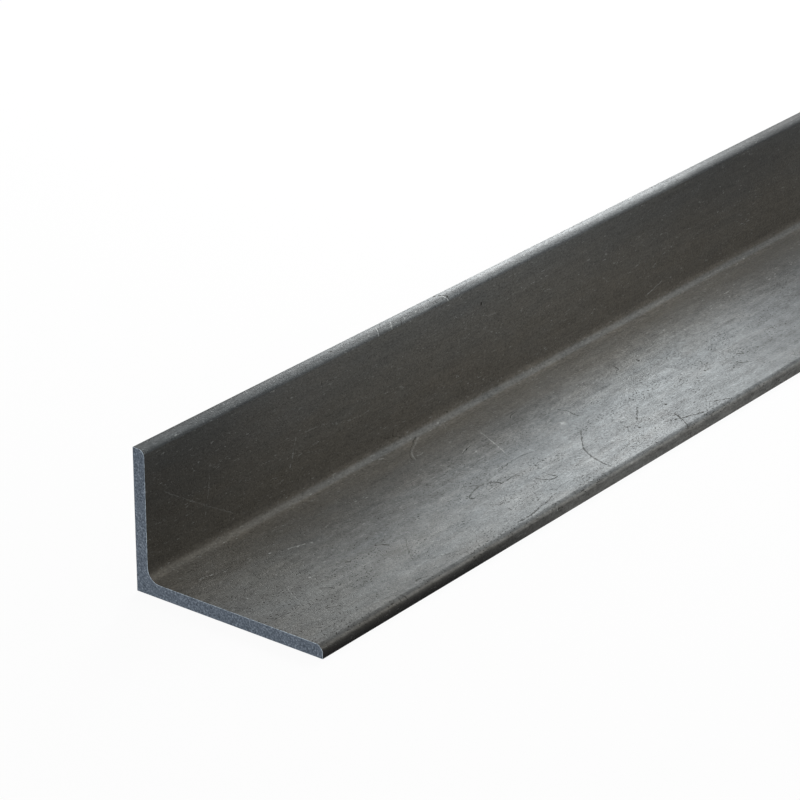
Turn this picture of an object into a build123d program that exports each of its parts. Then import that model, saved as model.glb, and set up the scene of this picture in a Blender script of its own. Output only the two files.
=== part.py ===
from build123d import *
import os

# Hot-rolled steel angle with unequal legs: one straight length of stock, sawn square at both ends.
# Millimetres, +Z up. The long leg lies flat on the floor, the short leg stands on its +Y edge, and
# the length runs along X. The origin is on the floor, under the middle of the long leg.

# Driving dimensions
LENGTH = 914.4  # a 36 inch length of bar
LONG_LEG = 76.2  # width over the flat leg, 3 inch
SHORT_LEG = 50.8  # height over the standing leg, 2 inch
THICKNESS = 4.7625  # both legs, 3/16 inch
ROOT_RADIUS = 4.8  # the fillet that the rolls leave in the inside corner
TOE_RADIUS = 2.0  # the rounded inner edge along the end of each leg
CORNER_RADIUS = 0.3  # what the rolls leave on the heel and on the outer edge of each toe

# Where the faces of the section lie, seen along X with +Y to the right
heel_y = LONG_LEG / 2  # outer face of the standing leg
tip_y = heel_y - LONG_LEG  # far edge of the flat leg
inner_y = heel_y - THICKNESS  # inner face of the standing leg
inner_z = THICKNESS  # upper face of the flat leg
top_z = SHORT_LEG  # upper edge of the standing leg

# Corners of the section before they are rounded
heel = (heel_y, 0)
flat_toe = [(tip_y, 0), (tip_y, inner_z)]
root = (inner_y, inner_z)
standing_toe = [(inner_y, top_z), (heel_y, top_z)]


def corners(sketch, points):
    """The vertices of a sketch that lie at these points."""
    return [sketch.vertices().sort_by_distance(point)[0] for point in points]


with BuildPart() as steel_angle:
    with BuildSketch(Plane.YZ) as section:
        with BuildLine():
            Polyline(heel, *flat_toe, root, *standing_toe, close=True)
        make_face()
        fillet(corners(section, [root]), radius=ROOT_RADIUS)
        fillet(corners(section, [flat_toe[1], standing_toe[0]]), radius=TOE_RADIUS)
        fillet(corners(section, [heel, flat_toe[0], standing_toe[1]]), radius=CORNER_RADIUS)
    extrude(amount=LENGTH / 2, both=True)

steel_angle.part.label = "steel_angle"

os.makedirs("parts", exist_ok=True)
export_step(steel_angle.part, "parts/steel_angle.step")
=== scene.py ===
"""A hot-rolled steel angle with unequal legs: one straight piece of stock, sawn square at both ends.

The bar lies on its long leg and its short leg stands along the far side. The rolled skin and the two
sawn ends are one closed surface, which stands for the plain solid of the same section. The bar's
lengths are millimetres here and become metres in its mesh, and the studio's are metres.
"""

import logging
import math
from collections.abc import Callable, Iterator
from dataclasses import dataclass, field
from enum import Enum
from functools import partial

import bpy
import numpy as np
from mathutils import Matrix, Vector


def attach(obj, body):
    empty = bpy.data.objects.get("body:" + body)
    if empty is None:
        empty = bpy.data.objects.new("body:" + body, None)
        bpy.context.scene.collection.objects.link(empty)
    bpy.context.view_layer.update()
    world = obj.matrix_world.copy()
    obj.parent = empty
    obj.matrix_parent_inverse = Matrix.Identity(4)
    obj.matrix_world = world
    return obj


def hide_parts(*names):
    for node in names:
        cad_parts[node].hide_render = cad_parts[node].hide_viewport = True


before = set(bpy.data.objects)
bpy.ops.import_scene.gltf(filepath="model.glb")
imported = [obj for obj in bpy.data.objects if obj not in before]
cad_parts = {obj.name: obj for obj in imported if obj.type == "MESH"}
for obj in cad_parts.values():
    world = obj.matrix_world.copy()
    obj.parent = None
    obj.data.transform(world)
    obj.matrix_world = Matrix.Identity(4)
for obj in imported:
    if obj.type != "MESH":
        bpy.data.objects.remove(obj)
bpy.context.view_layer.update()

log = logging.getLogger("steel_angle")

MM = 0.001  # metres in a millimetre

Value = float | tuple | bpy.types.Node | bpy.types.NodeSocket  # what goes into a node's input
Adder = Callable[..., bpy.types.Node]  # the function `add`, for one tree


def linear(hex_colour: str, alpha: float = 1.0) -> tuple[float, float, float, float]:
    """Turns an sRGB hex colour into the linear values that shaders take.

    Args:
        hex_colour: six hex digits, with or without a leading #.
        alpha: the fourth value.

    Returns:
        Linear red, green and blue, and alpha.
    """
    parts = np.array([int(hex_colour.lstrip("#")[i : i + 2], 16) for i in (0, 2, 4)]) / 255
    low, high = parts / 12.92, ((parts + 0.055) / 1.055) ** 2.4
    red, green, blue = np.where(parts <= 0.04045, low, high).tolist()
    return red, green, blue, alpha


class Kind(Enum):
    """The kinds of node that patterns are worked out with, each a node's type and its settings."""

    PLUS = ("ShaderNodeMath", {"operation": "ADD"})
    MINUS = ("ShaderNodeMath", {"operation": "SUBTRACT"})
    TIMES = ("ShaderNodeMath", {"operation": "MULTIPLY"})
    TIMES_PLUS = ("ShaderNodeMath", {"operation": "MULTIPLY_ADD"})
    LARGER = ("ShaderNodeMath", {"operation": "MAXIMUM"})
    SMALLER = ("ShaderNodeMath", {"operation": "MINIMUM"})
    ABOVE = ("ShaderNodeMath", {"operation": "GREATER_THAN"})
    BELOW = ("ShaderNodeMath", {"operation": "LESS_THAN"})
    SIZE = ("ShaderNodeMath", {"operation": "ABSOLUTE"})
    SQUARE_ROOT = ("ShaderNodeMath", {"operation": "SQRT"})
    DOT = ("ShaderNodeVectorMath", {"operation": "DOT_PRODUCT"})
    BLEND = ("ShaderNodeMix", {"data_type": "RGBA"})
    TINT = ("ShaderNodeMix", {"data_type": "RGBA", "blend_type": "MULTIPLY"})
    # From one range smoothly to another, held outside it. This one holds its ends by itself, and the
    # clamp would only cost the renderer stack space.
    RAMP = ("ShaderNodeMapRange", {"interpolation_type": "SMOOTHSTEP", "clamp": False})


def add(
    tree: bpy.types.NodeTree,
    kind: Kind | str,
    *values: Value,
    inputs: dict[str, Value] | None = None,
    **settings: object,
) -> bpy.types.Node:
    """Adds one node, with its settings, its values and its links.

    Args:
        tree: the node tree that gets the node.
        kind: a kind from the list above, or the node's type name.
        *values: for the inputs in use, in order, a plain value, or a node or its output to link.
        inputs: the same by the inputs' names.
        **settings: the node's own properties.

    Returns:
        The new node.
    """
    type_name, fixed = kind.value if isinstance(kind, Kind) else (kind, {})
    node = tree.nodes.new(type_name)
    for name, setting in {**fixed, **settings}.items():
        setattr(node, name, setting)
    in_use = [socket for socket in node.inputs if socket.enabled]
    named = [(node.inputs[name], value) for name, value in (inputs or {}).items()]
    for socket, value in [*zip(in_use, values), *named]:
        if isinstance(value, bpy.types.Node):
            value = next(output for output in value.outputs if output.enabled)
        if isinstance(value, bpy.types.NodeSocket):
            tree.links.new(value, socket)
        else:
            socket.default_value = value
    return node


def weighted(step: Adder, start: Value, *parts: tuple[Value, Value]) -> Value:
    """Adds patterns to a start, each times its weight.

    Args:
        step: adds nodes to the tree.
        start: what they are added to.
        *parts: each pattern and its weight.

    Returns:
        The sum.
    """
    for pattern, weight in parts:
        start = step(Kind.TIMES_PLUS, pattern, weight, start)
    return start


def new_material(name: str) -> tuple[bpy.types.Material, Adder]:
    """Makes an empty node material.

    Args:
        name: the material's name.

    Returns:
        The material, and the function that adds nodes to it.
    """
    material = bpy.data.materials.new(name)
    material.use_nodes = True
    material.node_tree.nodes.clear()
    return material, partial(add, material.node_tree)


@dataclass(frozen=True)
class Grain:
    """A noise pattern of patches that are `along` the bar by `across` it, in millimetres."""

    along: float
    across: float
    detail: float = 2.0
    harsh: float = 0.5
    shift: float = 0.0

    def value(self, step: Adder, place: Value) -> bpy.types.Node:
        """Draws the pattern.

        Args:
            step: adds nodes to the material.
            place: object coordinates in millimetres.

        Returns:
            A value that lies about 0.5, from about 0.2 to about 0.8.
        """
        scale = (1 / self.along, 1 / self.across, 1 / self.across)
        moved = step("ShaderNodeMapping", place, inputs={"Location": (self.shift,) * 3, "Scale": scale})
        noise = {"Vector": moved, "Scale": 1.0, "Detail": self.detail, "Roughness": self.harsh}
        return step("ShaderNodeTexNoise", inputs=noise)


@dataclass(frozen=True)
class Specks:
    """Small spots that gather in patches.

    `edge` holds the values of their grain at which a spot starts and is full, and `gather` those of the
    coarser pattern that they gather in. `near` is their strength near the root and `far` toward the
    flat leg's toe.
    """

    grain: Grain
    edge: tuple[float, float]
    gather: tuple[float, float]
    near: float
    far: float

    def spots(self, step: Adder, place: Value) -> bpy.types.Node:
        """The bare spots, from 0 to 1."""
        return step(Kind.RAMP, self.grain.value(step, place), *self.edge)

    def gathered(self, step: Adder, spots: Value, patches: Value, outer: Value) -> bpy.types.Node:
        """The spots where the patches let them be, at their strength for how far out, 0 to 1, they lie."""
        spots = step(Kind.TIMES, spots, step(Kind.RAMP, patches, *self.gather))
        return step(Kind.TIMES, spots, step(Kind.TIMES_PLUS, outer, self.far - self.near, self.near))


@dataclass(frozen=True)
class Section:
    """The rolled section in its own plane, with y across the bar and z up, in millimetres."""

    long_leg: float = 76.2
    short_leg: float = 50.8
    thickness: float = 4.7625
    root_radius: float = 4.8
    toe_reach: float = 2.3  # how far from the toe its rounding starts, across and down
    long_toe_power: float = 1.42
    short_toe_power: float = 1.9
    corner_radius: float = 0.12
    lip: float = 0.4  # how far the toe's points go past its rounding on the outer path
    toe_steps: int = 9
    heel_steps: int = 5
    flat_steps: int = 21
    root_steps: int = 13
    standing_steps: int = 15
    rows: int = 5

    @property
    def heel(self) -> float:
        """The standing leg's outer face."""
        return self.long_leg / 2

    @property
    def tip(self) -> float:
        """The long leg's toe."""
        return -self.long_leg / 2

    @property
    def inner_face(self) -> float:
        """The standing leg's inner face."""
        return self.heel - self.thickness

    @staticmethod
    def arc(y: float, z: float, radius: float, first: float, last: float, count: int) -> np.ndarray:
        """Points round a circle: centre plus radius times (cos, sin) of even angles, in degrees."""
        angle = np.radians(np.linspace(first, last, count))
        return np.column_stack([y + radius * np.cos(angle), z + radius * np.sin(angle)])

    @staticmethod
    def between(first: np.ndarray, last: np.ndarray, count: int) -> np.ndarray:
        """Even points on a straight line, without its two ends."""
        return first + np.linspace(0, 1, count + 2)[1:-1, None] * (last - first)

    def rounding(self, y: float, z: float, power: float, inset: float) -> np.ndarray:
        """Points round a toe: a quarter of a superellipse, |y| ** n + |z| ** n = r ** n about its centre.

        A power n less than a circle's 2 makes the toe flatter than a round one.

        Args:
            y: the toe's own edge, across the bar.
            z: the height of the top.
            power: the power n.
            inset: how far inside the rolled surface it runs.

        Returns:
            The points, from the side to the top.
        """
        angle = np.linspace(0, np.pi / 2, self.toe_steps)
        side, top = np.clip(np.cos(angle), 0, 1) ** (2 / power), np.sin(angle) ** (2 / power)
        small = self.toe_reach - inset
        return np.column_stack([y + self.toe_reach - small * side, z - self.toe_reach + small * top])

    def paths(self, inset: float = 0.0) -> list[np.ndarray]:
        """The section's outer and inner paths, from the flat toe round to the standing toe.

        Each path is its toe's arc, a straight run, the heel or the root, a straight run and an arc. The
        two have as many points as each other, so that they face each other across the thickness.

        Args:
            inset: how far inside the rolled surface the paths run.

        Returns:
            The outer and the inner path, each an array of y and z.
        """
        heel, tip, top, inner_face = self.heel, self.tip, self.short_leg, self.inner_face
        corner, thick, root = self.corner_radius, self.thickness, self.root_radius
        inner = [
            self.rounding(tip, thick, self.long_toe_power, inset),
            self.arc(inner_face - root, thick + root, root + inset, 270, 360, self.root_steps),
            self.rounding(inner_face, top, self.short_toe_power, inset),
        ]
        half, small = self.toe_steps // 2, corner - inset
        toe_bottom = self.arc(tip + corner, corner, small, 180, 270, half + 1)
        toe_top = self.arc(heel - corner, top - corner, small, 0, 90, half + 1)
        toe_end = self.toe_reach + self.lip
        low_end, high_end = np.array([tip + toe_end, inset]), np.array([heel - inset, top - toe_end])
        heel_arc = self.arc(heel - corner, corner, small, 270, 360, self.heel_steps)
        low_run = np.array([inner_face - root, inset])
        high_run = np.array([heel - inset, thick + root])
        side = (self.root_steps - self.heel_steps) // 2 - 1
        to_heel = self.between(low_run, heel_arc[0], side)
        from_heel = self.between(heel_arc[-1], high_run, side)
        outer = [
            np.vstack([toe_bottom, self.between(toe_bottom[-1], low_end, half)]),
            np.vstack([low_run, to_heel, heel_arc, from_heel, high_run]),
            np.vstack([self.between(high_end, toe_top[0], half), toe_top]),
        ]
        paths = []
        for flat_toe, bend, standing_toe in (outer, inner):
            flat = self.between(flat_toe[-1], bend[0], self.flat_steps)
            standing = self.between(bend[-1], standing_toe[0], self.standing_steps)
            paths.append(np.vstack([flat_toe, flat, bend, standing, standing_toe]))
        return paths

    def sheet(self, inset: float = 0.0) -> np.ndarray:
        """The whole section as a grid: rows from the outer path to the inner one, by even shares.

        Args:
            inset: how far inside the rolled surface it ends.

        Returns:
            An array of rows by columns by (y, z).
        """
        outer, inner = self.paths(inset)
        share = np.linspace(0, 1, self.rows)[:, None, None]
        return outer + share * (inner - outer)

    def rim(self) -> tuple[np.ndarray, np.ndarray]:
        """Which points of the grid lie on the section's edge, in order round it.

        Returns:
            The row and the column of each: out along the outer path, across the standing toe, back along
            the inner path and across the flat toe.
        """
        rows, columns = self.sheet().shape[:2]
        across, down = np.arange(columns), np.arange(1, rows - 1)
        row = [np.zeros(columns, int), down, np.full(columns, rows - 1), down[::-1]]
        column = [across, np.full(rows - 2, columns - 1), across[::-1], np.zeros(rows - 2, int)]
        return np.concatenate(row), np.concatenate(column)


class Skin(Enum):
    """The sides of the bar that carry marks, by the two object axes that lie in each."""

    LONG_LEG = "the upper face of the flat leg: length and width"
    SHORT_LEG = "the inner face of the standing leg: length and height"
    TOP_TOE = "the standing leg's toe: length and width"


class Tone(Enum):
    """What a mark does to the skin."""

    CRACK = "a dark check where the scale has split"
    SCRATCH = "a bright scuff where it is worn off"


class Plan:
    """Where a point of the skin lies: which side it is on and its place on that side."""

    TOP_DEPTH: float = 1.7  # how far down its rounding the standing toe's top reaches
    FACE_FRONT: float = 0.5  # how far the standing leg's inner face reaches in front of its plane
    FACE_BACK: float = 2.2  # and how far behind it
    FLAT_HEIGHT: float = 2.6  # the flat leg's upper side lies above this
    ROOT_OFFSET: float = 4.0  # the root lies at least this far from the floor and from the back

    def __init__(self, step: Adder, place: Value, section: Section) -> None:
        """Works out the sides' shares and the places on them.

        Args:
            step: adds nodes to the material.
            place: millimetres from the sawn end, the middle plane and the floor.
            section: the bar's section, for where its faces are.
        """
        axes = step("ShaderNodeSeparateXYZ", place).outputs
        self.along, self.wide, self.high = axes[0], axes[1], axes[2]
        top = step(Kind.ABOVE, self.high, section.short_leg - self.TOP_DEPTH)
        not_top = step(Kind.MINUS, 1.0, top)
        behind = step(Kind.ABOVE, self.wide, section.inner_face - self.FACE_FRONT)
        before = step(Kind.BELOW, self.wide, section.inner_face + self.FACE_BACK)
        upright = step(Kind.TIMES, step(Kind.TIMES, behind, before), not_top)
        flat = step(Kind.ABOVE, self.high, self.FLAT_HEIGHT)
        flat = step(Kind.TIMES, flat, step(Kind.MINUS, not_top, upright))
        self.share = {Skin.LONG_LEG: flat, Skin.SHORT_LEG: upright, Skin.TOP_TOE: top}
        self.across = {Skin.LONG_LEG: self.wide, Skin.SHORT_LEG: self.high, Skin.TOP_TOE: self.wide}
        from_heel = step(Kind.MINUS, section.heel, self.wide)
        self.in_root = step(Kind.ABOVE, step(Kind.SMALLER, from_heel, self.high), self.ROOT_OFFSET)
        self.off_root = step(Kind.SIZE, step(Kind.MINUS, from_heel, self.high))


@dataclass(frozen=True)
class Mark:
    """One thin line on a face, in millimetres.

    `start` and `end` count from the sawn end and from the bar's middle plane or the floor. `bow` is how
    far its middle stands off the straight line, `depth` is its strength and `gaps` how broken it is,
    from 0, whole, to about 0.55, a row of dots.
    """

    skin: Skin
    tone: Tone
    start: tuple[float, float]
    end: tuple[float, float]
    bow: float = 0.0
    width: float = 0.45
    depth: float = 0.8
    gaps: float = 0.0

    def inputs(self) -> dict[str, Value]:
        """The mark's own values for the line's node group.

        Its frame is kept as two vectors whose dot products with (x, y, 1) are how far along the line a
        point is, from 0 to 1, and how many widths off it.

        Returns:
            The values by the names of the group's inputs.
        """
        start, run = np.array(self.start), np.subtract(self.end, self.start)
        length = float(np.hypot(*run))
        along = run / length
        off = np.array([-along[1], along[0]])
        return {
            "Along": (*(along / length).tolist(), float(-start @ along / length)),
            "Off": (*(off / self.width).tolist(), float(-start @ off / self.width)),
            "Bow": 4 * self.bow / self.width,
            "Depth": self.depth,
            "Gaps": self.gaps,
        }


def marks_on(skin: Skin, tone: Tone, *lines: tuple) -> tuple[Mark, ...]:
    """Marks of one tone on one side, each given by its start, end, bow, width, depth and gaps."""
    return tuple(Mark(skin, tone, *line) for line in lines)


MARKS = (
    *marks_on(
        Skin.LONG_LEG,
        Tone.CRACK,
        ((112.7, -12.9), (111.8, -11.4), 0.2, 0.85, 0.95),
        ((111.8, -11.4), (122.2, -8.5), 0.7, 0.80, 0.55),
        ((121.8, -8.6), (134.9, -6.7), -0.2, 0.35, 0.32, 0.30),
        ((134.4, -6.8), (144.4, -5.4), 0.1, 0.35, 0.51),
        ((144.0, -5.4), (157.4, -7.2), 0.5, 0.30, 0.49, 0.35),
        ((119.1, -5.8), (123.6, -9.1), 0.0, 0.35, 0.85, 0.30),
        ((123.9, -9.4), (127.9, -13.3), 1.4, 0.80, 0.69),
        ((127.7, -13.0), (137.4, -12.7), -0.2, 0.55, 0.57, 0.20),
        ((188.5, 8.2), (190.1, 2.4), 0.4, 0.38, 0.95, 0.30),
        ((190.1, 2.6), (189.3, -2.5), -0.6, 0.40, 0.87, 0.25),
        ((179.4, -9.6), (168.9, -18.0), 0.0, 0.50, 0.66, 0.20),
        ((169.2, -17.6), (161.5, -35.4), -1.8, 0.80, 0.58),
        ((130.7, -32.2), (120.5, -34.0), 0.3, 0.35, 0.60, 0.20),
        ((120.8, -34.0), (106.5, -34.9), 0.7, 0.70, 0.55, 0.10),
        ((138.1, -19.3), (144.3, -25.0), -2.0, 0.60, 0.90, 0.35),
        ((143.0, -21.4), (143.8, -24.7), 0.3, 0.55, 0.88, 0.30),
        ((146.5, 13.4), (138.4, 11.2), -0.2, 0.35, 0.75),
        ((179.0, 17.6), (172.6, 15.7), -0.5, 0.45, 0.62),
        ((160.3, -24.0), (154.1, -24.9), 0.0, 0.35, 0.30),
        ((161.5, -23.3), (157.7, -22.2), -0.5, 0.35, 0.48, 0.30),
        ((195.0, -17.3), (192.6, -17.1), -0.1, 0.40, 0.65),
        ((114.2, -18.3), (114.2, -21.8), -2.0, 0.75, 0.38, 0.45),
        ((113.2, -22.2), (118.3, -23.5), 0.3, 0.75, 0.51, 0.45),
        ((76.1, -12.0), (63.5, -24.8), -0.5, 0.35, 0.40, 0.40),
        ((63.5, -24.8), (81.2, -32.8), -1.1, 0.40, 0.42, 0.35),
        ((34.8, -33.6), (44.6, -43.2), 3.4, 0.40, 0.60, 0.30),
        ((64.4, -8.0), (67.7, -12.1), 0.6, 0.55, 0.95),
        ((49.1, -7.9), (50.6, -9.4), 0.1, 0.64, 0.95),
        ((29.4, -13.0), (32.6, -16.7), 0.6, 0.44, 0.95),
        ((20.4, -23.1), (24.6, -25.9), 0.1, 0.57, 0.95),
        ((52.3, -34.3), (57.9, -35.1), 0.5, 0.45, 0.59),
        ((211.4, -27.6), (208.5, -33.0), 0.0, 0.75, 0.95),
        ((208.5, -33.0), (205.7, -37.2), 0.0, 0.50, 0.60, 0.35),
        ((203.3, -29.0), (219.3, -35.1), -0.3, 0.64, 0.95, 0.45),
        ((260.4, -18.7), (268.3, -25.2), -0.4, 0.43, 0.95, 0.35),
        ((269.2, -16.1), (271.7, -18.3), -0.1, 0.50, 0.95, 0.35),
        ((278.3, -17.8), (280.8, -19.6), 0.1, 0.48, 0.95, 0.35),
        ((226.0, -30.7), (234.9, -36.0), -0.3, 0.35, 0.94, 0.30),
        ((208.4, -13.7), (198.7, -20.3), 0.0, 0.63, 0.95, 0.50),
        ((242.5, 9.8), (242.6, 8.3), 0.0, 1.15, 0.95),
        ((232.6, 12.2), (230.9, 9.4), 0.0, 0.60, 0.80),
        ((215.5, -20.6), (216.6, -21.1), 0.0, 1.12, 0.95),
        ((248.9, -15.6), (253.1, -15.6), 0.0, 1.00, 0.95, 0.45),
        ((193.4, -24.5), (194.6, -24.5), 0.0, 1.13, 0.95),
        ((138.6, 31.6), (128.9, 26.8), -0.2, 0.40, 0.50),
        ((129.0, 27.0), (124.0, 21.6), -0.4, 0.40, 0.55),
        ((35.3, 30.2), (33.6, 27.7), 0.0, 0.50, 0.40),
        ((79.4, 33.7), (71.8, 27.2), -0.6, 0.35, 0.26, 0.30),
        ((149.1, -34.1), (150.1, -34.4), 0.0, 1.00, 0.90),
        ((157.8, -32.8), (158.6, -33.0), 0.0, 0.80, 0.35),
        ((188.7, -23.1), (189.6, -23.3), 0.0, 0.90, 0.60),
    ),
    *marks_on(
        Skin.LONG_LEG,
        Tone.SCRATCH,
        ((146.6, 13.8), (139.1, 11.9), -0.2, 0.30, 0.35),
        ((159.0, 22.6), (146.9, -2.0), 0.6, 0.35, 0.38, 0.45),
        ((152.9, 9.0), (151.7, 6.3), -0.1, 0.50, 0.44),
        ((176.6, 16.9), (172.7, 15.6), -0.2, 0.30, 0.36),
        ((179.7, -0.9), (181.3, -2.0), 0.1, 2.00, 0.35),
        ((24.1, -4.6), (19.1, -15.6), -1.0, 0.35, 0.23, 0.40),
        ((139.4, 31.1), (129.6, 26.3), -0.2, 0.55, 0.25),
        ((129.6, 26.3), (124.8, 21.0), -0.4, 0.55, 0.40),
        ((131.5, 22.8), (127.6, 22.7), 0.1, 0.45, 0.57),
        ((45.0, 12.8), (54.4, 9.5), 0.2, 0.55, 0.47, 0.52),
        ((45.0, 12.8), (45.9, 12.7), 0.0, 0.86, 0.95),
        ((48.1, 11.3), (49.0, 11.1), 0.0, 0.80, 0.52),
        ((53.4, 9.8), (54.3, 9.6), 0.0, 0.80, 0.33),
        ((31.2, 17.5), (32.1, 17.4), 0.0, 0.75, 0.50),
        ((38.8, 15.6), (41.2, 14.3), 0.0, 0.60, 0.94, 0.45),
        ((33.3, -5.4), (34.2, -5.6), 0.0, 0.90, 0.45),
        ((44.9, -2.4), (46.0, -2.7), 0.0, 0.70, 0.36),
        ((45.4, -9.0), (46.3, -9.1), 0.0, 0.70, 0.25),
        ((10.1, 0.9), (11.0, 0.8), 0.0, 0.80, 0.44),
        ((154.2, 31.8), (146.4, 22.3), 0.3, 0.30, 0.12, 0.35),
        ((25.7, 21.6), (45.3, 18.5), 0.0, 0.35, 0.15, 0.40),
        ((10.5, 21.5), (21.2, 19.1), 0.0, 0.45, 0.68, 0.52),
        ((126.3, -36.8), (125.2, -38.4), 0.0, 0.35, 0.40),
    ),
    *marks_on(
        Skin.SHORT_LEG,
        Tone.CRACK,
        ((120.5, 11.5), (126.9, 9.1), -0.3, 0.45, 0.42),
        ((127.3, 9.8), (131.8, 7.4), -0.2, 0.45, 0.56),
        ((128.4, 12.1), (127.6, 9.9), 0.1, 0.40, 0.53),
        ((115.4, 12.6), (116.7, 11.4), 0.0, 0.70, 0.40),
        ((178.7, 42.8), (178.8, 41.2), 0.0, 0.74, 0.95),
        ((89.2, 43.2), (89.3, 42.0), 0.0, 0.50, 0.58),
        ((133.7, 20.3), (134.7, 19.2), 0.0, 0.60, 0.40),
        ((158.1, 7.6), (159.3, 6.8), 0.0, 0.70, 0.59),
    ),
    *marks_on(
        Skin.SHORT_LEG,
        Tone.SCRATCH,
        ((283.4, 10.8), (294.5, 13.5), -0.2, 0.35, 0.60),
        ((182.4, 35.8), (187.8, 35.3), 0.0, 0.35, 0.23),
        ((8.1, 33.9), (43.8, 12.1), -0.5, 0.30, 0.22, 0.35),
        ((31.8, 35.8), (28.5, 16.0), 0.4, 0.40, 0.24, 0.50),
        ((75.7, 29.4), (71.1, 16.2), 0.4, 0.50, 0.42, 0.55),
        ((1.1, 14.6), (7.3, 12.5), 0.0, 0.35, 0.14, 0.30),
        ((61.6, 17.3), (65.6, 17.2), 0.0, 0.35, 0.19, 0.30),
        ((80.0, 28.2), (87.1, 27.6), 0.0, 0.40, 0.19, 0.35),
        ((88.6, 28.2), (116.8, 23.8), -2.0, 0.50, 0.28, 0.50),
        ((91.1, 19.6), (92.0, 19.4), 0.0, 0.70, 0.20),
        ((30.3, 26.5), (31.3, 26.3), 0.0, 0.70, 0.40),
        ((73.2, 22.7), (74.1, 22.5), 0.0, 0.70, 0.53),
    ),
    *marks_on(
        Skin.TOP_TOE,
        Tone.CRACK,
        ((156.3, 37.8), (157.7, 37.8), 0.0, 0.70, 0.70),
        ((158.1, 36.7), (159.1, 36.3), 0.0, 1.00, 1.00),
        ((159.1, 35.9), (160.6, 34.1), 0.3, 0.90, 1.00),
        ((96.5, 36.1), (98.1, 36.1), 0.0, 0.70, 0.85),
        ((174.0, 37.4), (175.4, 37.3), 0.0, 0.60, 0.80),
        ((123.4, 36.7), (120.6, 32.8), 0.0, 0.40, 0.35),
        ((134.3, 34.8), (131.3, 31.8), 0.0, 0.40, 0.45),
    ),
    *marks_on(
        Skin.TOP_TOE,
        Tone.SCRATCH,
        ((158.1, 36.4), (159.1, 34.4), 0.15, 0.45, 0.85),
        ((159.3, 33.9), (159.8, 33.9), 0.0, 0.60, 0.70),
        ((122.7, 36.7), (119.9, 32.8), 0.0, 0.40, 0.50),
        ((129.8, 36.1), (127.2, 32.9), 0.0, 0.40, 0.40),
    ),
)


@dataclass(frozen=True)
class PaintedLightPatch:
    """A broad, soft-edged patch of painted light on the skin: a painted highlight where it lightens, painted
    shade where it darkens, in millimetres.

    `middle` counts as a mark's ends do and `reach` is how far the patch goes along and across. At its middle
    the skin's colour is multiplied by `shade`: above 1 it paints a highlight, below 1 it paints shade.
    """

    skin: Skin
    middle: tuple[float, float]
    reach: tuple[float, float]
    shade: float

    def factor(self, step: Adder, plan: Plan) -> bpy.types.Node:
        """The patch's factor on the colour: its shade in the middle, and smoothly 1 at its edge and beyond.

        Args:
            step: adds nodes to the material.
            plan: the sides of the bar.

        Returns:
            The factor, which is 1 on the other sides.
        """
        sides = zip((plan.along, plan.across[self.skin]), self.middle, self.reach)
        x, y = (step(Kind.TIMES_PLUS, value, 1 / reach, -middle / reach) for value, middle, reach in sides)
        away = step(Kind.SQUARE_ROOT, step(Kind.TIMES_PLUS, x, x, step(Kind.TIMES, y, y)))
        change = step(Kind.RAMP, away, 0.1, 1.0, self.shade - 1.0, 0.0)
        return step(Kind.TIMES_PLUS, change, plan.share[self.skin], 1.0)


# Painted highlights (shade above 1) and painted shade (shade below 1), in broad patches where the lamps'
# highlights and shading fall.
PAINTED_LIGHT_PATCHES = (
    PaintedLightPatch(Skin.LONG_LEG, (10.0, 20.0), (45.0, 22.0), 1.22),
    PaintedLightPatch(Skin.LONG_LEG, (165.0, 6.0), (80.0, 30.0), 0.88),
    PaintedLightPatch(Skin.LONG_LEG, (240.0, 2.0), (90.0, 34.0), 1.15),
    PaintedLightPatch(Skin.LONG_LEG, (80.0, 3.0), (62.0, 27.0), 0.78),
    PaintedLightPatch(Skin.LONG_LEG, (365.0, 4.0), (90.0, 40.0), 0.57),
    PaintedLightPatch(Skin.LONG_LEG, (318.0, -24.0), (72.0, 32.0), 0.71),
    PaintedLightPatch(Skin.LONG_LEG, (205.0, -6.0), (60.0, 12.0), 1.12),
    PaintedLightPatch(Skin.LONG_LEG, (68.0, -34.3), (46.0, 3.4), 0.78),
    PaintedLightPatch(Skin.SHORT_LEG, (0.0, 42.0), (85.0, 44.0), 0.68),
    PaintedLightPatch(Skin.SHORT_LEG, (350.0, 52.0), (170.0, 38.0), 0.62),
    PaintedLightPatch(Skin.TOP_TOE, (35.0, 38.0), (75.0, 3.5), 0.57),
    PaintedLightPatch(Skin.TOP_TOE, (145.0, 35.4), (175.0, 1.7), 0.50),
    PaintedLightPatch(Skin.TOP_TOE, (145.0, 35.0), (110.0, 60.0), 1.16),
    PaintedLightPatch(Skin.TOP_TOE, (385.0, 36.0), (110.0, 60.0), 0.42),
    PaintedLightPatch(Skin.TOP_TOE, (390.0, 38.1), (85.0, 1.3), 0.72),
    PaintedLightPatch(Skin.TOP_TOE, (390.0, 34.1), (85.0, 1.1), 1.30),
)


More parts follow.
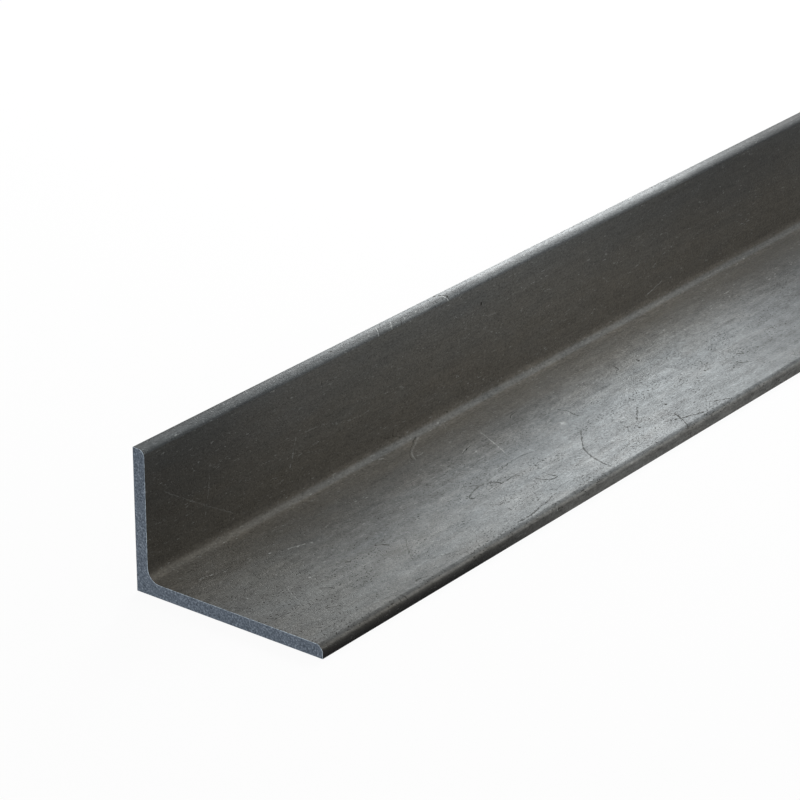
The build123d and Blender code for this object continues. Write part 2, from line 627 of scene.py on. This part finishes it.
@dataclass(frozen=True)
class DrawnMarks:
    """The larger cracks and scuffs, each a bowed line laid on one face."""

    marks: tuple[Mark, ...] = MARKS
    waver: Grain = Grain(1.8, 1.8, 1.0, 0.5, 4.4)
    breaks: Grain = Grain(1.6, 1.6, 2.0, 0.6, 6.2)
    sway: float = 1.3  # how far the waver moves a line
    thinning: tuple[float, ...] = (0.35, 0.65, 1.55, 0.8)  # the breaks' range and how thin it makes a line
    firmness: tuple[float, ...] = (0.30, 0.60, 0.5, 1.0)  # the breaks' range and how firm it makes a line

    def strengths(self, step: Adder, place: Value, plan: Plan) -> dict[Tone, bpy.types.Node]:
        """Draws every mark.

        Args:
            step: adds nodes to the material.
            place: millimetres from the sawn end, the middle plane and the floor.
            plan: the sides of the bar.

        Returns:
            The strength of the dark marks and of the bright ones, from 0 to 1.
        """
        breaks = self.breaks.value(step, place)
        sway = step(Kind.TIMES, step(Kind.MINUS, self.waver.value(step, place), 0.5), self.sway)
        thin = step(Kind.RAMP, breaks, *self.thinning)
        firm = step(Kind.RAMP, breaks, *self.firmness)
        group = self.line_group()
        totals = dict.fromkeys(Tone, 0.0)
        for skin in Skin:
            swayed = step(Kind.PLUS, plan.across[skin], sway)
            spot = step("ShaderNodeCombineXYZ", plan.along, swayed, 1.0)
            for tone in Tone:
                total = 0.0
                for mark in (m for m in self.marks if m.skin is skin and m.tone is tone):
                    given = {"Spot": spot, "Breaks": breaks, "Thin": thin, **mark.inputs()}
                    line = step("ShaderNodeGroup", inputs=given, node_tree=group)
                    total = step(Kind.LARGER, line, total)
                here = step(Kind.TIMES, total, plan.share[skin])
                totals[tone] = step(Kind.LARGER, totals[tone], here)
        return {tone: step(Kind.TIMES, total, firm) for tone, total in totals.items()}

    def line_group(self) -> bpy.types.NodeTree:
        """A bowed line in a plane, as a node group.

        In the line's own frame x runs from 0 to 1 along it and y counts widths off it. Its strength falls
        from the depth to nothing with |y - bow x (1 - x)|, fades out at both ends, and is nothing where
        the breaks are below the gaps.

        Returns:
            The group.
        """
        tree = bpy.data.node_groups.new("bowed_line", "ShaderNodeTree")
        for name in ("Spot", "Along", "Off"):
            tree.interface.new_socket(name, in_out="INPUT", socket_type="NodeSocketVector")
        for name in ("Breaks", "Thin", "Bow", "Depth", "Gaps"):
            tree.interface.new_socket(name, in_out="INPUT", socket_type="NodeSocketFloat")
        tree.interface.new_socket("Strength", in_out="OUTPUT", socket_type="NodeSocketFloat")
        step = partial(add, tree)
        given = step("NodeGroupInput").outputs
        x = step(Kind.DOT, given["Spot"], given["Along"])
        y = step(Kind.DOT, given["Spot"], given["Off"])
        arch = step(Kind.TIMES, x, step(Kind.MINUS, 1.0, x))
        off = step(Kind.MINUS, y, step(Kind.TIMES, arch, given["Bow"]))
        off = step(Kind.TIMES, step(Kind.SIZE, off), given["Thin"])
        line = step(Kind.TIMES, step(Kind.RAMP, off, 0.15, 0.75, 1.0, 0.0), step(Kind.RAMP, arch, 0.0, 0.06))
        whole = step(Kind.RAMP, step(Kind.MINUS, given["Breaks"], given["Gaps"]), -0.05, 0.05)
        line = step(Kind.TIMES, line, whole)
        step("NodeGroupOutput", step(Kind.TIMES, line, given["Depth"]))
        return tree


@dataclass(frozen=True)
class MillScaleSteel:
    """Hot-rolled mild steel with its mill scale on.

    The oxide grows as the bar cools and the rolls press it into a dense, dark skin: a dull metallic grey,
    browner in the root, greyer toward the toes, where the grey is partly a painted tint of the highlights. A
    fine leathery grit covers it, drawn into faint streaks and cloudy patches along the bar. Toward the toe of
    the flat leg it is stippled with small dark pits and worn to light streaks, and near the root it has light
    flecks. Its colour also carries painted highlights and painted shade along the root and the toes, and in
    broad patches. The rolls leave it smoother along than across.
    """

    root_colour: str = "#4e4b45"
    toe_colour: str = "#4b4e4f"
    dark_colour: str = "#24231f"
    bright_colour: str = "#949694"
    roughness: float = 0.50
    lay: float = 0.92  # how much smoother it is along the bar than across
    lay_turn: float = 0.25  # turns, from the map's own direction, which runs along the bar
    grit: Grain = Grain(6.0, 3.5, 3.0, 0.9, 7.7)  # the leathery crust, with grains down to half a millimetre
    tooth: Grain = Grain(1.4, 0.7, 1.0, 0.5, 3.3)  # oxide crystals, drawn coarser than real ones to show
    streak: Grain = Grain(30.0, 1.8, 3.0, 0.7)  # what the rolls draw out
    smear: Grain = Grain(9.0, 4.0, 3.0, 0.7, 5.6)  # thick and thin places, about a fingernail's size
    cloud: Grain = Grain(28.0, 8.0, 4.0, 0.65, 3.1)  # longer ones, about a finger's size
    cluster: Grain = Grain(16.0, 5.0, 2.0, 0.6, 9.4)  # where pits gather, and flecks between them
    pit: Specks = Specks(Grain(1.0, 0.6, 1.0, 0.5, 2.2), (0.58, 0.68), (0.48, 0.60), 0.14, 0.72)
    fleck: Specks = Specks(Grain(2.2, 0.7, 2.0, 0.6, 1.9), (0.62, 0.74), (0.60, 0.40), 0.36, 0.17)
    wear: Specks = Specks(Grain(8.0, 1.3, 2.0, 0.55, 6.3), (0.52, 0.62), (-0.02, 0.10), 0.0, 0.13)
    level: float = 0.985  # the mean factor on the colour, about which the grains play
    # How much the grit, the tooth, the streak and the smear count, on the standing leg and on the flat one.
    play: tuple[tuple[float, float], ...] = ((0.50, 1.30), (0.80, 0.78), (0.40, 0.75), (0.20, 0.80))
    cloud_play: float = 0.7  # the same for the cloud, on the flat leg's outer part
    cloud_tint: float = 0.6  # how much the cloud shifts the colour
    scratch_share: float = 0.8  # how bright a drawn scratch is, where a fleck is 1
    # Distances from the heel at which the flat leg's own play and its outer part start and are full.
    flat_part: tuple[float, float] = (8.0, 30.0)
    outer_part: tuple[float, float] = (18.0, 46.0)
    # Distances from the sawn end between which the grains come to count more, and how much they count.
    along_play: tuple[float, ...] = (40.0, 180.0, 0.85, 1.15)
    # Painted highlights and painted shade on the toes' roundings: the distances between which the colour
    # takes on a factor, inward from the flat toe, and down from the top of the standing one.
    flat_toe: tuple[tuple[float, ...], ...] = ((2.3, 1.7, 0.73), (1.35, 0.75, 1.50), (0.65, 0.2, 0.91))
    standing_toe: tuple[tuple[float, ...], ...] = ((0.05, 0.3, 1.14), (0.85, 1.3, 0.71), (1.9, 2.6, 1.235))
    marks: DrawnMarks = DrawnMarks()
    # Broad patches of painted highlight and painted shade on the skin.
    patches: tuple[PaintedLightPatch, ...] = PAINTED_LIGHT_PATCHES

    def material(self, bar: "AngleBar") -> bpy.types.Material:
        """Builds the finish.

        Args:
            bar: the bar that wears it, for the places of its root, its toes and its end.

        Returns:
            The material.
        """
        made, step = new_material("hot_rolled_mill_scale_steel")
        near_end = (bar.length / 2, 0.0, 0.0)
        place = step("ShaderNodeTexCoord").outputs["Object"]
        place = step("ShaderNodeMapping", place, inputs={"Location": near_end, "Scale": (1 / MM,) * 3})
        grains = (self.grit, self.tooth, self.streak, self.smear, self.cloud)
        *fine, cloud = (step(Kind.MINUS, grain.value(step, place), 0.5) for grain in grains)
        grit, tooth, streak, smear = fine
        cluster = self.cluster.value(step, place)
        section = bar.section
        plan = Plan(step, place, section)
        drawn = self.marks.strengths(step, place, plan)
        toe_share = self.toe_share(step, plan, section)
        flat, outer = (
            step(Kind.RAMP, plan.wide, section.heel - start, section.heel - full)
            for start, full in (self.flat_part, self.outer_part)
        )
        pit_spots = self.pit.spots(step, place)
        pits = self.pit.gathered(step, pit_spots, cluster, outer)
        flecks = self.fleck.gathered(step, self.fleck.spots(step, place), cluster, outer)
        worn = self.wear.gathered(step, self.wear.spots(step, place), smear, outer)

        # The grey toward the toes is partly the scale's own colour and partly a painted tint of the cool
        # highlights there.
        share = step(Kind.TIMES_PLUS, cloud, self.cloud_tint, toe_share)
        share = step(Kind.SMALLER, step(Kind.LARGER, share, 0.0), 1.0)
        tone = step(Kind.BLEND, share, linear(self.root_colour), linear(self.toe_colour))
        plays = (step(Kind.TIMES_PLUS, flat, lying - standing, standing) for standing, lying in self.play)
        mottle = weighted(step, 0.0, *zip(fine, plays))
        mottle = step(Kind.TIMES_PLUS, step(Kind.TIMES, cloud, outer), self.cloud_play, mottle)
        shade = step(Kind.TIMES_PLUS, mottle, step(Kind.RAMP, plan.along, *self.along_play), worn)
        shade = step(Kind.PLUS, shade, self.level)
        # Painted highlights and painted shade along the root and the toes.
        for factor in self.painted_light_factors(step, plan, section):
            shade = step(Kind.TIMES, shade, factor)
        # Painted highlights and painted shade, patch by patch.
        for patch in self.patches:
            shade = step(Kind.TIMES, shade, patch.factor(step, plan))
        grey = step("ShaderNodeCombineColor", shade, shade, shade)
        tone = step(Kind.TINT, 1.0, tone, grey)
        bright = step(Kind.LARGER, flecks, step(Kind.TIMES, drawn[Tone.SCRATCH], self.scratch_share))
        tone = step(Kind.BLEND, bright, tone, linear(self.bright_colour))
        dark = step(Kind.LARGER, drawn[Tone.CRACK], pits)
        tone = step(Kind.BLEND, dark, tone, linear(self.dark_colour))

        rough = weighted(step, self.roughness, (cloud, 0.22), (grit, 0.15), (dark, 0.25))
        # The weights are heights in millimetres.
        height = weighted(step, 0.0, (streak, 0.020), (grit, 0.045), (tooth, 0.020), (pit_spots, -0.030))
        shader = {
            "Base Color": tone,
            "Metallic": 1.0,
            "Roughness": rough,
            "Anisotropic": self.lay,
            "Anisotropic Rotation": self.lay_turn,
            "Tangent": step("ShaderNodeTangent", direction_type="UV_MAP", uv_map=bar.map_name),
            "Normal": step("ShaderNodeBump", inputs={"Height": height, "Distance": MM, "Strength": 1.0}),
        }
        step("ShaderNodeOutputMaterial", inputs={"Surface": step("ShaderNodeBsdfPrincipled", inputs=shader)})
        return made

    def toe_share(self, step: Adder, plan: Plan, section: Section) -> bpy.types.Node:
        """How toe-like the scale's colour is.

        It grows outward over each leg, less so near the sawn end, and falls again at the flat toe's edge:
        partly the scale's own colour, partly a painted tint of the cool highlights that fall there. The
        middle of the root takes some of it too, as a painted tint of the highlight along the root.

        Args:
            step: adds nodes to the material.
            plan: the sides of the bar.
            section: the bar's section.

        Returns:
            A value from 0, the root's brown, to 1, the toes' grey.
        """
        flat = step(Kind.RAMP, plan.wide, section.heel + 4.0, section.heel - 46.0)
        flat = step(Kind.TIMES, flat, step(Kind.RAMP, plan.along, -60.0, 190.0, 0.55, 1.0))
        edge = step(Kind.RAMP, plan.wide, section.tip + 1.6, section.tip + 0.6, 1.0, 0.55)
        flat = step(Kind.TIMES, flat, edge)
        more = step(Kind.MINUS, step(Kind.RAMP, plan.high, 8.0, 85.0), flat)
        legs = step(Kind.TIMES_PLUS, more, plan.share[Skin.SHORT_LEG], flat)
        # A painted tint of the highlight along the middle of the root.
        root_sheen_tint = step(Kind.TIMES, plan.in_root, step(Kind.RAMP, plan.off_root, 2.8, 0.6))
        root_sheen_tint = step(Kind.TIMES, root_sheen_tint, step(Kind.RAMP, plan.along, 5.0, 110.0, 0.1, 0.55))
        return step(Kind.LARGER, step(Kind.LARGER, legs, root_sheen_tint), plan.share[Skin.TOP_TOE])

    def painted_light_factors(self, step: Adder, plan: Plan, section: Section) -> Iterator[bpy.types.Node]:
        """Factors on the colour that paint highlights and shade along the root and the toes.

        The root has a painted highlight along its middle and a little painted shade on either side. Each
        toe's rounding has a line of painted shade and a line of painted highlight along it. The flat toe has
        painted shade under its edge, and more painted shade low down near the sawn end. The top of the
        standing toe has painted shade along both of its sides. Each is a ramp between two distances in
        millimetres.

        Args:
            step: adds nodes to the material.
            plan: the sides of the bar.
            section: the bar's section.

        Returns:
            The factors, one at a time.
        """
        # A painted highlight along the root's middle and painted shade on either side of it.
        pale = step(Kind.RAMP, plan.off_root, 0.4, 2.6, 0.36, 0.0)
        root = step(Kind.PLUS, pale, step(Kind.RAMP, plan.off_root, 3.0, 5.5, -0.11, 0.0))
        yield step(Kind.TIMES_PLUS, root, plan.in_root, 1.0)
        for far, near, factor in self.flat_toe:
            yield step(Kind.RAMP, plan.wide, section.tip + far, section.tip + near, 1.0, factor)
        # Painted shade under the flat toe's edge.
        fallen = step(Kind.RAMP, plan.wide, section.tip + 0.65, section.tip + 0.3, 0.0, -0.25)
        yield step(Kind.TIMES_PLUS, fallen, step(Kind.RAMP, plan.high, 2.4, 3.0), 1.0)
        for high, low, factor in self.standing_toe:
            yield step(Kind.RAMP, plan.high, section.short_leg - high, section.short_leg - low, 1.0, factor)
        # Painted shade along both sides of the standing toe's top.
        inner = step(Kind.RAMP, plan.wide, section.inner_face + 3.0, section.inner_face + 1.4, 0.0, -0.20)
        back = step(Kind.RAMP, plan.wide, section.heel - 0.9, section.heel - 0.4, 0.0, -0.21)
        yield step(Kind.TIMES_PLUS, step(Kind.PLUS, inner, back), plan.share[Skin.TOP_TOE], 1.0)
        # Painted shade on the flat toe near the sawn end, darkest low down.
        lowest = step(Kind.RAMP, plan.high, 0.6, 4.2, 0.07, 0.45)
        painted_end_shade = step(Kind.RAMP, plan.along, 75.0, 145.0, 1.0, 0.0)
        painted_end_shade = step(Kind.TIMES, painted_end_shade, step(Kind.RAMP, plan.wide, section.tip + 1.6, section.tip + 0.3))
        painted_end_shade = step(Kind.TIMES, painted_end_shade, step(Kind.RAMP, plan.high, 3.7, 2.3))
        yield step(Kind.TIMES_PLUS, step(Kind.MINUS, lowest, 1.0), painted_end_shade, 1.0)


@dataclass(frozen=True)
class SawnSteel:
    """Mild steel as a band saw leaves it.

    The teeth cut fresh metal, which has dulled since to a cool blue grey. It is finely speckled, with faint
    slanting tooth marks and a pale burr along its edges, partly bare metal and partly a painted glint, and it
    is rougher than the rolled skin.
    """

    colour: str = "#5a636e"
    dark_colour: str = "#3a4149"
    pale_colour: str = "#868f9a"
    # Partly the burr's bare metal, partly a painted glint.
    burr_glint_colour: str = "#b6c1cb"
    roughness: float = 0.5
    speckle: Grain = Grain(0.7, 0.7, 3.0, 0.75, 1.3)  # the torn grain, drawn coarser than it is to show
    patch: Grain = Grain(6.0, 6.0, 2.0, 0.5, 4.1)  # duller and shinier places
    bead: Grain = Grain(1.3, 1.3, 1.0, 0.5, 8.3)  # the burr's beads
    tooth_mark: Grain = Grain(9.0, 0.6, 2.0, 0.6, 2.8)  # one mark to about 0.6 mm of the cut
    tooth_slant: float = -38.0  # degrees

    def material(self, bar: "AngleBar") -> bpy.types.Material:
        """Builds the finish, with the tooth marks as a noise drawn out along the saw's slanting path.

        Args:
            bar: the bar, for the places of its ends and the width of the burr.

        Returns:
            The material.
        """
        made, step = new_material("bandsawn_steel")
        place = step("ShaderNodeTexCoord").outputs["Object"]
        place = step("ShaderNodeMapping", place, inputs={"Scale": (1 / MM,) * 3})
        speckle, patch = self.speckle.value(step, place), self.patch.value(step, place)
        # Turned so that the blade's path lies along the noise's own long axis.
        turn = (math.radians(self.tooth_slant), 0.0, math.radians(90))
        cut = self.tooth_mark.value(step, step("ShaderNodeMapping", place, inputs={"Rotation": turn}))
        dark, pale = linear(self.dark_colour), linear(self.pale_colour)
        tone = step(Kind.BLEND, step(Kind.RAMP, speckle, 0.32, 0.50), dark, linear(self.colour))
        tone = step(Kind.BLEND, step(Kind.RAMP, speckle, 0.50, 0.70), tone, pale)
        tone = step(Kind.BLEND, step(Kind.RAMP, cut, 0.60, 0.72, 0.0, 0.5), tone, pale)
        # The burr is the outer part of the cut edge, on the bar's sides next to its ends: its pale colour is
        # partly bare metal and partly a painted glint.
        end = bar.length / 2
        from_middle = step(Kind.SIZE, step("ShaderNodeSeparateXYZ", place).outputs[0])
        burr = step(Kind.RAMP, from_middle, end - 0.6 * bar.cut_edge, end - 0.01, 1.0, 0.0)
        burr = step(Kind.TIMES, burr, step(Kind.RAMP, self.bead.value(step, place), 0.40, 0.55, 0.35, 1.0))
        tone = step(Kind.BLEND, burr, tone, linear(self.burr_glint_colour))
        rough = step(Kind.TIMES_PLUS, step(Kind.MINUS, patch, 0.5), 0.2, self.roughness)
        # The weights are heights in millimetres.
        height = weighted(step, 0.0, (speckle, 0.03), (cut, 0.04))
        bump = step("ShaderNodeBump", inputs={"Height": height, "Distance": MM, "Strength": 1.0})
        shader = {"Base Color": tone, "Metallic": 1.0, "Roughness": rough, "Normal": bump}
        step("ShaderNodeOutputMaterial", inputs={"Surface": step("ShaderNodeBsdfPrincipled", inputs=shader)})
        return made


@dataclass(frozen=True)
class Waves:
    """Smooth unevenness of the skin, in millimetres.

    `along` and `across` are its shortest and longest wavelengths along the bar and round the section,
    and `depth` is how deep it goes.
    """

    along: tuple[float, float]
    across: tuple[float, float]
    depth: float
    cosines: int = 60

    def heights(
        self, x: np.ndarray, around: np.ndarray, girth: float, rng: np.random.Generator
    ) -> np.ndarray:
        """Works out the unevenness, from 0 to the depth.

        A sum of cosines, cos(2 pi (x / a + n u / girth) + phase), where u counts round the section, a is
        a random wavelength along the bar, n a whole number of waves round it, so that the skin closes
        on itself, and the phase is random. It is worked out as a product of two tables.

        Args:
            x: stations along the bar.
            around: distances round the section.
            girth: the section's whole way round.
            rng: the random numbers.

        Returns:
            An array of stations by points round the section.
        """
        count = self.cosines
        a = np.exp(rng.uniform(*np.log(self.along), count)) * rng.choice([-1, 1], count)
        n = np.round(girth / np.exp(rng.uniform(*np.log(self.across), count)))
        length_part = 2 * np.pi * x[:, None] / a + rng.uniform(0, 2 * np.pi, count)
        round_part = 2 * np.pi * around[:, None] * n / girth
        total = np.cos(length_part) @ np.cos(round_part).T - np.sin(length_part) @ np.sin(round_part).T
        return self.depth * ((total - total.min()) / np.ptp(total))


@dataclass
class AngleBar:
    """The bar: its section carried along its length, with a rolled skin and two sawn ends."""

    section: Section = field(default_factory=Section)
    length: float = 914.4
    stations: int = 650
    cut_edge: float = 0.14  # the saw's broken edge and burr
    swell: Waves = Waves((70, 400), (25, 130), 0.04)  # the rolls' long, low waves
    pimple: Waves = Waves((7, 26), (6, 18), 0.02)  # the scale's small bumps
    ragged_toe: Waves = Waves((4, 60), (5, 60), 0.07)  # what the rolls leave uneven along the toes
    burr: Waves = Waves((9, 10), (2, 12), 0.6)  # its depth is a share of the cut edge
    burr_start: float = 0.6  # the share of the cut edge that the burr never falls below
    sharp_from: float = 27.0  # degrees between two faces at which their edge is sharp
    skin_top: float = 0.88  # how much of the map the skin takes, and the ends lie above it
    end_corners: tuple[tuple[float, float], ...] = ((0.02, 0.90), (0.36, 0.90))  # the ends' places on the map
    end_size: tuple[float, float] = (0.30, 0.09)
    seed: int = 20
    map_name: str = "OFBake"
    name: str = "rolled_angle_bar"

    def relief(self, x: np.ndarray, loop: np.ndarray, around: np.ndarray, girth: float) -> np.ndarray:
        """How far the skin lies below the plain section.

        Long swells and small pimples lie everywhere, and a ragged unevenness only on the toes: whole to
        1.5 mm from their edges and gone at 4 mm. On the underside and the back it is a quarter of all
        this, and whole again 1.5 mm inward of them.

        Args:
            x: stations along the bar.
            loop: the section's rim.
            around: distances round it.
            girth: the whole way round it.

        Returns:
            Depths in millimetres, never less than nothing, by stations and points of the rim.
        """
        rng = np.random.default_rng(self.seed)
        swell, pimple, ragged = (
            waves.heights(x, around, girth, rng) for waves in (self.swell, self.pimple, self.ragged_toe)
        )
        from_toe = np.minimum(loop[:, 0] - self.section.tip, self.section.short_leg - loop[:, 1])
        depth = swell + pimple + ragged * np.clip(1.6 - from_toe / 2.5, 0, 1)
        from_outside = np.minimum(loop[:, 1], self.section.heel - loop[:, 0])
        return depth * np.clip(from_outside / 2.0 + 0.25, 0, 1)

    def mesh(self) -> bpy.types.Mesh:
        """Works out the closed surface and its map.

        A point of the skin is the section's rim point at that station, moved inward along the section's
        normal by the relief. The first and last stations lie inside the skin by the cut edge, and the
        ends are the section's grid, which shares their points.

        Returns:
            The mesh, in metres, with the rolled skin in slot 0 and the sawn ends, with their broken
            edges, in slot 1.
        """
        part = self.section
        row, column = part.rim()
        full, small = part.sheet(), part.sheet(self.cut_edge)
        loop = full[row, column]
        count = len(loop)
        run = np.roll(loop, -1, 0) - loop
        around = np.concatenate([[0], np.cumsum(np.hypot(*run.T))])
        girth, around = around[-1], around[:-1]
        turn = np.roll(loop, -1, 0) - np.roll(loop, 1, 0)
        inward = np.column_stack([-turn[:, 1], turn[:, 0]]) / np.hypot(*turn.T)[:, None]

        half, edge = self.length / 2, self.cut_edge
        x = np.concatenate([[-half], np.linspace(-half + edge, half - edge, self.stations), [half]])
        skin = loop + self.relief(x, loop, around, girth)[..., None] * inward
        burr = self.burr.heights(x[:2], around, girth, np.random.default_rng(self.seed + 1))
        skin[[0, -1]] = skin[[1, -2]] + edge * (self.burr_start + burr[..., None]) * inward
        stations = np.broadcast_to(x[:, None, None], (len(x), count, 1))
        places = np.concatenate([stations, skin], 2).reshape(-1, 3)

        i, j = np.meshgrid(np.arange(len(x) - 1), np.arange(count), indexing="ij")
        k = (j + 1) % count
        sides = np.stack([i * count + j, i * count + k, (i + 1) * count + k, (i + 1) * count + j], -1)
        along = (x + half) / self.length
        up = np.append(around, girth) / girth * self.skin_top
        corners = [np.stack([along[i + di], up[j + dj]], -1) for di, dj in ((0, 0), (0, 1), (1, 1), (1, 0))]
        quads, maps = [sides.reshape(-1, 4)], [np.stack(corners, 2).reshape(-1, 2)]

        for at, corner in zip((0, len(x) - 1), self.end_corners):
            grid = np.full(small.shape[:2], -1)
            grid[row, column] = at * count + np.arange(count)
            free = grid < 0
            grid[free] = len(places) + np.arange(free.sum())
            places = np.vstack([places, np.column_stack([np.full(free.sum(), x[at]), small[free]])])
            quad = np.stack([grid[:-1, :-1], grid[:-1, 1:], grid[1:, 1:], grid[1:, :-1]], -1).reshape(-1, 4)
            quads.append(quad if at else quad[:, ::-1])
            share = (places[quads[-1].ravel(), 1:] - (part.tip, 0.0)) / (part.long_leg, part.short_leg)
            maps.append(corner + share * self.end_size)

        faces = np.vstack(quads)
        mesh = bpy.data.meshes.new(self.name)
        mesh.from_pydata(places * MM, [], faces)
        layer = mesh.uv_layers.new(name=self.map_name)
        layer.uv.foreach_set("vector", np.vstack(maps).astype(np.float32).ravel())
        slots = np.zeros(len(faces), np.int32)
        slots[:count] = 1
        slots[len(quads[0]) - count :] = 1
        mesh.polygons.foreach_set("material_index", slots)
        mesh.polygons.foreach_set("use_smooth", slots == 0)
        mesh.set_sharp_from_angle(angle=math.radians(self.sharp_from))
        mesh.update()
        return mesh

    def build(self) -> bpy.types.Object:
        """Makes the bar's object, dresses it and sets it in the frame.

        Returns:
            The object.
        """
        piece = bpy.data.objects.new(self.name, self.mesh())
        bpy.context.scene.collection.objects.link(piece)
        piece.data.materials.append(MillScaleSteel().material(self))
        piece.data.materials.append(SawnSteel().material(self))
        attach(piece, "root")
        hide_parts("steel_angle")
        return piece


@dataclass(frozen=True)
class Softbox:
    """A studio lamp with a plain rectangular face, in metres: its place, what it points at and its size."""

    name: str
    place: tuple[float, float, float]
    aim: tuple[float, float, float]
    width: float
    height: float
    radiance: float
    roll: float = 0.0  # degrees, about the way it points
    colour: str = "#ffffff"

    def build(self) -> bpy.types.Object:
        """Makes the lamp. Its power is pi times its area times its radiance.

        Returns:
            The lamp's object.
        """
        lamp = bpy.data.lights.new(self.name, "AREA")
        lamp.shape, lamp.size, lamp.size_y = "RECTANGLE", self.width, self.height
        lamp.energy = math.pi * self.width * self.height * self.radiance
        lamp.color = linear(self.colour)[:3]
        made = bpy.data.objects.new(self.name, lamp)
        made.location = self.place
        made.rotation_euler = (Vector(self.place) - Vector(self.aim)).to_track_quat("Z", "Y").to_euler()
        made.rotation_euler.rotate_axis("Z", math.radians(self.roll))
        made.visible_camera = False
        bpy.context.scene.collection.objects.link(made)
        return made


AIM = (-0.25, 0.03, 0.02)  # the near part of the bar, which the lamps point at
LAMPS = (
    Softbox("key_softbox", (0.836, 0.553, 0.898), AIM, 0.52, 0.38, 9.4, roll=-49.0),
    Softbox("low_softbox", (0.400, 0.463, 0.356), AIM, 0.15, 0.60, 8.8, roll=34.0),
    Softbox("top_softbox", (0.447, 0.014, 0.554), AIM, 0.60, 0.39, 4.7, roll=-48.0),
    Softbox("side_softbox", (0.372, -0.542, 0.108), AIM, 0.15, 0.15, 4.4, roll=-15.0),
)


def seen(step: Adder) -> bpy.types.Node:
    """1 for camera, glossy and transmission rays, and 0 for those that light a matt surface.

    Args:
        step: adds nodes to the tree.

    Returns:
        The value.
    """
    path = step("ShaderNodeLightPath").outputs
    sight = step(Kind.LARGER, path["Is Camera Ray"], path["Is Glossy Ray"])
    return step(Kind.LARGER, sight, path["Is Transmission Ray"])


@dataclass(frozen=True)
class BackgroundPaper:
    """Matt white background paper, which camera and mirror rays see as mostly plain white."""

    colour: str = "#f0f0f0"
    glow_share: float = 0.94  # how much of its white is plain, which a shadow doesn't darken

    def material(self) -> bpy.types.Material:
        """Builds the finish.

        Returns:
            The material.
        """
        made, step = new_material("white_background_paper")
        paper = {"Base Color": linear(self.colour), "Roughness": 1.0, "Specular IOR Level": 0.0}
        matt = step("ShaderNodeBsdfPrincipled", inputs=paper)
        plain = step("ShaderNodeEmission", inputs={"Color": linear("#ffffff"), "Strength": 1.0})
        share = step(Kind.TIMES, seen(step), self.glow_share)
        step("ShaderNodeOutputMaterial", inputs={"Surface": step("ShaderNodeMixShader", share, matt, plain)})
        return made


@dataclass
class Studio:
    """A pale floor, a pale surround, soft lamps and the camera, in metres."""

    floor_radius: float = 60.0
    floor_sides: int = 96
    floor_drop: float = 0.0001  # how far the floor lies below the bar
    paper: BackgroundPaper = BackgroundPaper()
    world_strength: float = 0.5
    lamps: tuple[Softbox, ...] = LAMPS
    camera_place: tuple[float, float, float] = (-1.211745, -0.649360, 0.522367)
    camera_look: tuple[float, float, float] = (0.72311012, 0.55690751, -0.40861447)
    lens: float = 160.36  # millimetres, as is the film's width
    film_width: float = 36.0

    def floor(self) -> bpy.types.Object:
        """A round floor: radius times (cos, sin) of even angles about the middle, as one face.

        Returns:
            The floor's object.
        """
        angle = np.linspace(0, 2 * np.pi, self.floor_sides, endpoint=False)
        ring = np.column_stack([np.cos(angle), np.sin(angle)]) * self.floor_radius
        rim = np.column_stack([ring, np.full(self.floor_sides, -self.floor_drop)])
        mesh = bpy.data.meshes.new("studio_floor")
        mesh.from_pydata(rim, [], [list(range(self.floor_sides))])
        made = bpy.data.objects.new("studio_floor", mesh)
        bpy.context.scene.collection.objects.link(made)
        mesh.materials.append(self.paper.material())
        return made

    def world(self) -> None:
        """A plain pale surround, white where it is seen and softer where it lights."""
        world = bpy.data.worlds.new("pale_studio")
        world.use_nodes = True
        world.node_tree.nodes.clear()
        step = partial(add, world.node_tree)
        strength = step(Kind.TIMES_PLUS, seen(step), 1.0 - self.world_strength, self.world_strength)
        ground = step("ShaderNodeBackground", inputs={"Color": linear("#ffffff"), "Strength": strength})
        step("ShaderNodeOutputWorld", inputs={"Surface": ground})
        bpy.context.scene.world = world

    def camera(self) -> bpy.types.Object:
        """The camera, looking down the bar from its near end.

        Returns:
            The camera's object.
        """
        lens = bpy.data.cameras.new("camera")
        lens.lens, lens.sensor_width = self.lens, self.film_width
        lens.clip_start, lens.clip_end = 0.01, 200.0
        made = bpy.data.objects.new("camera", lens)
        made.location = self.camera_place
        made.rotation_euler = Vector(self.camera_look).to_track_quat("-Z", "Y").to_euler()
        bpy.context.scene.collection.objects.link(made)
        bpy.context.scene.camera = made
        return made

    def build(self) -> None:
        """Makes the whole set and the plain view settings."""
        self.floor()
        self.world()
        self.camera()
        for lamp in self.lamps:
            lamp.build()
        bpy.context.scene.view_settings.view_transform = "Standard"


def main() -> None:
    """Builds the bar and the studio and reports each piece."""
    logging.basicConfig(level=logging.INFO, format="%(name)s: %(message)s")
    piece = AngleBar().build()
    log.info("%s has %d faces and %d points", piece.name, len(piece.data.polygons), len(piece.data.vertices))
    studio = Studio()
    studio.build()
    log.info("the studio has a floor, a pale surround, a camera and %d softboxes", len(studio.lamps))


if __name__ == "__main__":
    main()
